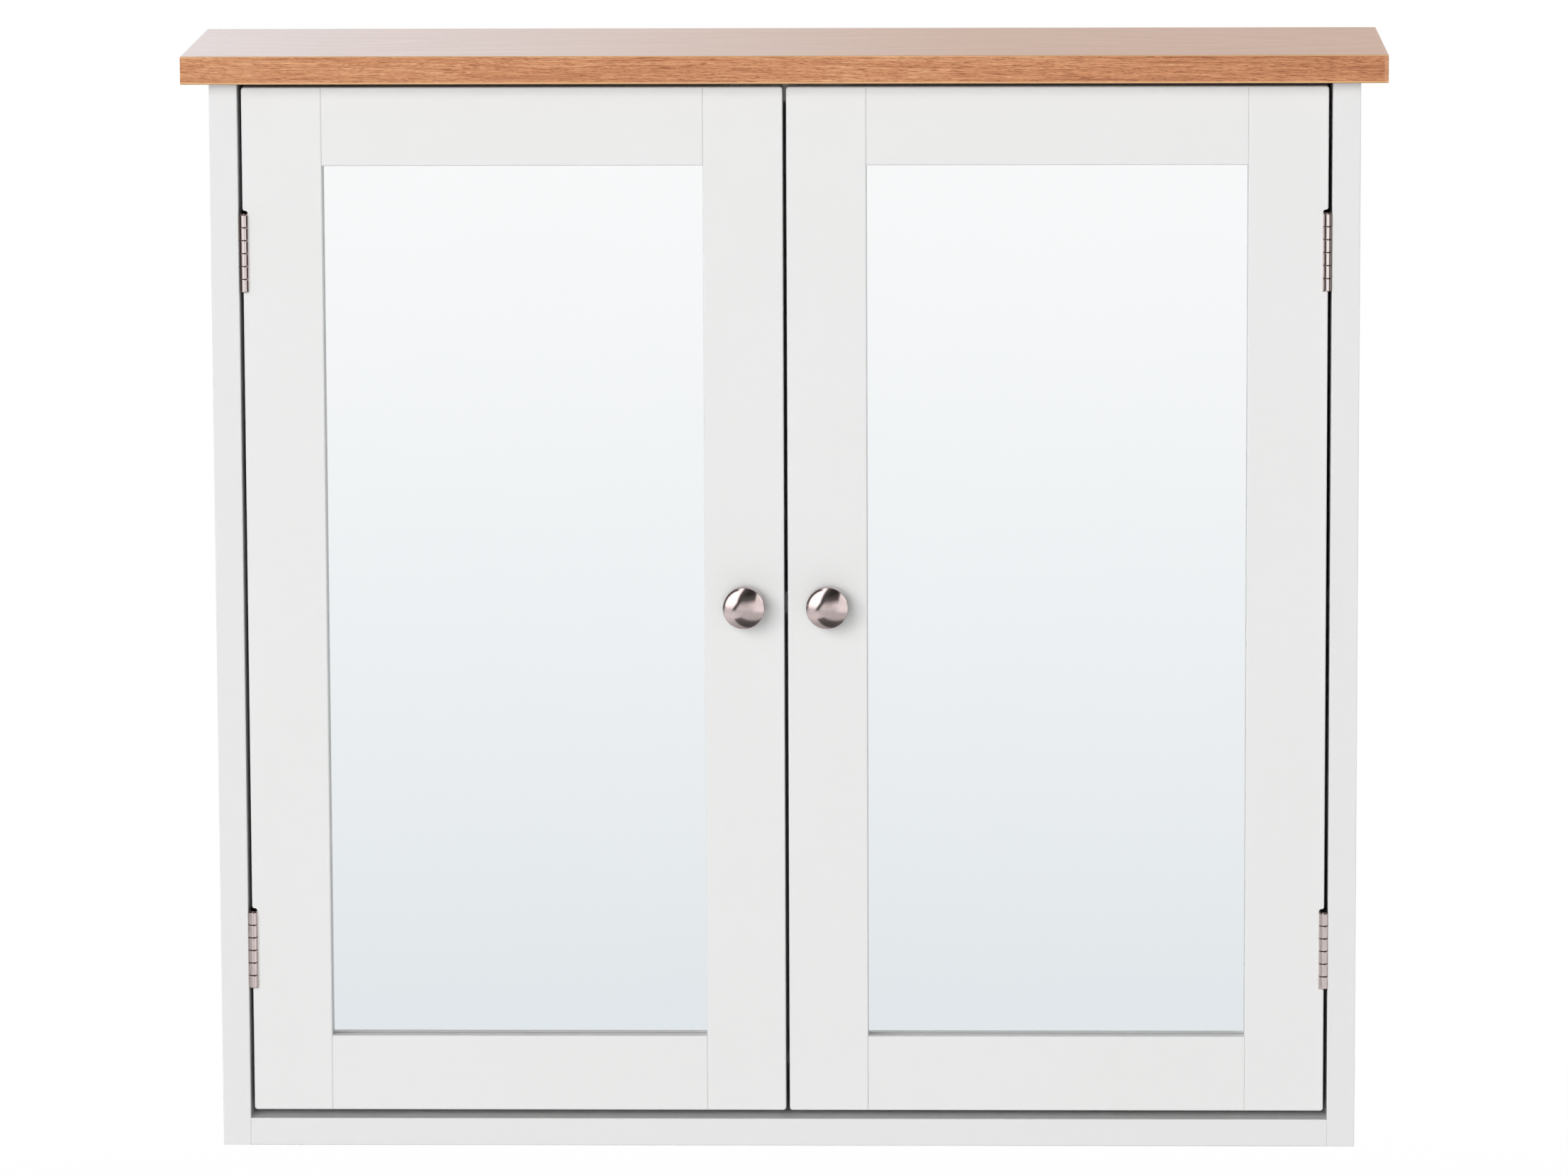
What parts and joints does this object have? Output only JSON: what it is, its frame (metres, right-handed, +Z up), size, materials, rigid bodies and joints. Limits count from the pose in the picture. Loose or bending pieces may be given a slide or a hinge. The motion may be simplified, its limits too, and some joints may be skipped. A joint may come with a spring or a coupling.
{
  "type": "mirror cabinet",
  "caption": "Wall-hung bathroom cabinet with framed mirror doors on butt hinges, round knobs, an inner shelf and an overhanging wood-effect top board.",
  "frame": {"origin": "on the wall plane, midway between the two wall screws in the hanging rail", "axes": "+X to the right seen from the front, +Y into the wall so the doors face -Y, +Z up"},
  "size_m": [0.6, 0.1555, 0.556],
  "materials": {
    "white_paint": "satin white paint on fibreboard",
    "wood_top": "satin wood-effect foil",
    "wood_edging": "satin wood-effect edging",
    "wood_ends": "satin wood-effect edging on the ends",
    "white_board": "white-faced hardboard",
    "hardboard": "bare brown hardboard",
    "beech": "bare fluted beech",
    "mirror": "silvered float glass",
    "nickel": "brushed nickel plate",
    "hinge_nickel": "satin nickel plate",
    "zinc_steel": "bright zinc plate",
    "white_plastic": "moulded white plastic",
    "ferrite": "matt dark ferrite"
  },
  "bodies": {
    "carcass": {"top_board": "wood_top", "top_front_edging": "wood_edging", "top_left_edging": "wood_ends", "top_right_edging": "wood_ends", "left_side_panel": "white_paint", "right_side_panel": "white_paint", "bottom_board": "white_paint", "back_panel": "white_board", "hanging_rail": "white_paint", "shelf": "white_paint", "shelf_pins": "zinc_steel", "cam_locks": "zinc_steel", "cam_bolts": "zinc_steel", "carcass_dowels": "beech", "back_panel_nails": "zinc_steel", "catch_housing": "white_plastic", "catch_magnets": "ferrite", "catch_pole_plates": "zinc_steel", "catch_screws": "zinc_steel", "frame_hinge_screws": "hinge_nickel", "left_upper_frame_leaf": "hinge_nickel", "left_upper_hinge_pin": "hinge_nickel", "left_lower_frame_leaf": "hinge_nickel", "left_lower_hinge_pin": "hinge_nickel", "right_upper_frame_leaf": "hinge_nickel", "right_upper_hinge_pin": "hinge_nickel", "right_lower_frame_leaf": "hinge_nickel", "right_lower_hinge_pin": "hinge_nickel"},
    "left_door": {"left_hinge_stile": "white_paint", "left_meeting_stile": "white_paint", "left_top_rail": "white_paint", "left_bottom_rail": "white_paint", "left_mirror": "mirror", "left_mirror_backing": "hardboard", "left_mirror_beads": "white_paint", "left_frame_dowels": "beech", "left_knob": "nickel", "left_knob_screw": "zinc_steel", "left_door_hinge_screws": "hinge_nickel", "left_strike_plate": "zinc_steel", "left_strike_screw": "zinc_steel", "left_upper_door_leaf": "hinge_nickel", "left_lower_door_leaf": "hinge_nickel"},
    "right_door": {"right_hinge_stile": "white_paint", "right_meeting_stile": "white_paint", "right_top_rail": "white_paint", "right_bottom_rail": "white_paint", "right_mirror": "mirror", "right_mirror_backing": "hardboard", "right_mirror_beads": "white_paint", "right_frame_dowels": "beech", "right_knob": "nickel", "right_knob_screw": "zinc_steel", "right_door_hinge_screws": "hinge_nickel", "right_strike_plate": "zinc_steel", "right_strike_screw": "zinc_steel", "right_upper_door_leaf": "hinge_nickel", "right_lower_door_leaf": "hinge_nickel"}
  },
  "joints": [
    {"name": "left_door_hinge", "type": "hinge", "parent": "carcass", "child": "left_door", "pos_m": [-0.27075, -0.1364, -0.23342], "axis": [0, 0, -1], "range_deg": [0, 180]},
    {"name": "right_door_hinge", "type": "hinge", "parent": "carcass", "child": "right_door", "pos_m": [0.27075, -0.1364, -0.23342], "axis": [0, 0, 1], "range_deg": [0, 180]}
  ]
}
